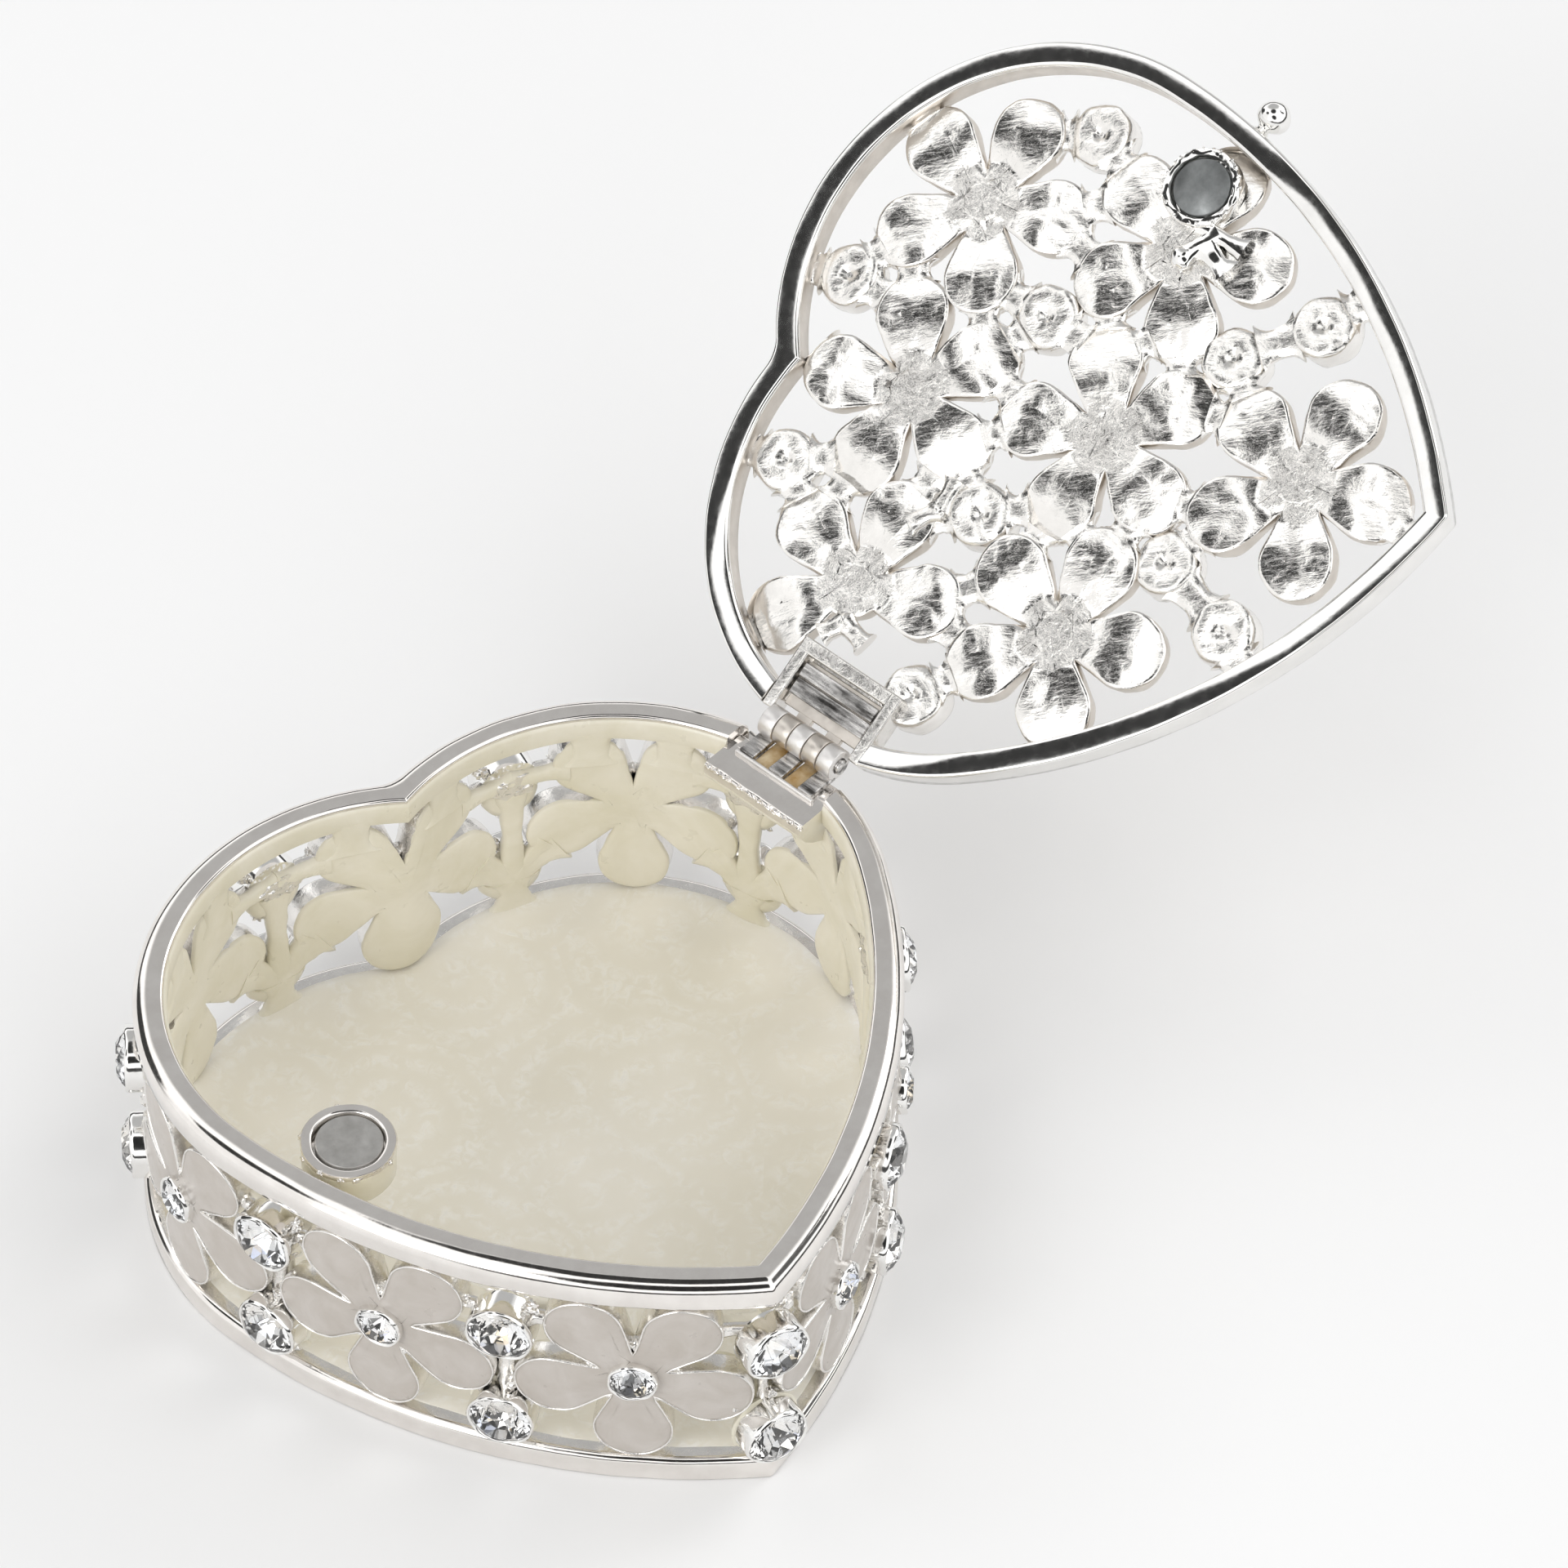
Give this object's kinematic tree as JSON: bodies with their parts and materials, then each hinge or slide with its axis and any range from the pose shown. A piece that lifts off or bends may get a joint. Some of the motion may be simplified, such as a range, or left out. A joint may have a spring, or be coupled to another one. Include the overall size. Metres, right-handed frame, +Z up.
{
  "type": "trinket box",
  "caption": "Heart shaped metal trinket box with a hinged openwork lid of enamel flowers and clear faceted stones, closed by a pair of magnets and opened by a small knob.",
  "frame": {"origin": "on the face the box rests on, midway between the centres of the heart's two lobes", "axes": "+Z up from the rest face, +Y towards the notch of the heart, -Y towards its tip, +X towards the lobe with the hinge"},
  "size_m": [0.1105, 0.082, 0.0575],
  "materials": {
    "silver_cast": "rough cast, silver plated",
    "silver_rim": "polished and satin, silver plated",
    "steel_leaf": "brushed",
    "magnet_grey": "satin nickel plate, dark",
    "enamel_cream": "pearly gloss",
    "enamel_petal": "milky gloss",
    "stone_clear": "faceted, foil backed"
  },
  "bodies": {
    "base": {"floor_plate": "silver_cast", "floor_enamel": "enamel_cream", "foot_ring": "silver_rim", "mouth_rim": "silver_rim", "wall_flower_1": "silver_cast", "wall_flower_2": "silver_cast", "wall_flower_3": "silver_cast", "wall_flower_4": "silver_cast", "wall_flower_5": "silver_cast", "wall_flower_6": "silver_cast", "wall_flower_7": "silver_cast", "wall_flower_8": "silver_cast", "wall_flower_9": "silver_cast", "stone_post_1": "silver_cast", "stone_post_2": "silver_cast", "stone_post_3": "silver_cast", "stone_post_4": "silver_cast", "stone_post_5": "silver_cast", "stone_post_6": "silver_cast", "stone_post_7": "silver_cast", "stone_post_8": "silver_cast", "stone_post_9": "silver_cast", "wall_petal_enamel": "enamel_petal", "wall_lining_enamel": "enamel_cream", "wall_stones": "stone_clear", "wall_centre_stones": "stone_clear", "box_magnet_cup": "silver_cast", "box_magnet": "magnet_grey", "box_hinge_seat": "silver_cast", "box_hinge_leaf": "steel_leaf", "hinge_pin": "steel_leaf"},
    "lid": {"lid_ring": "silver_rim", "lid_flower_1": "silver_cast", "lid_flower_2": "silver_cast", "lid_flower_3": "silver_cast", "lid_flower_4": "silver_cast", "lid_flower_5": "silver_cast", "lid_flower_6": "silver_cast", "lid_flower_7": "silver_cast", "lid_web": "silver_cast", "lid_stone_cups": "silver_cast", "lid_petal_enamel": "enamel_petal", "lid_stones": "stone_clear", "lid_centre_stones": "stone_clear", "lid_magnet_cup": "silver_cast", "lid_magnet": "magnet_grey", "lid_hinge_seat": "silver_cast", "lid_hinge_leaf": "steel_leaf", "lid_knob": "silver_rim"}
  },
  "joints": [
    {"name": "lid_hinge", "type": "hinge", "parent": "base", "child": "lid", "pos_m": [0.02924, 0.00636, 0.02325], "axis": [-0.2957, 0.9553, 0], "range_deg": [-146, 0]}
  ]
}
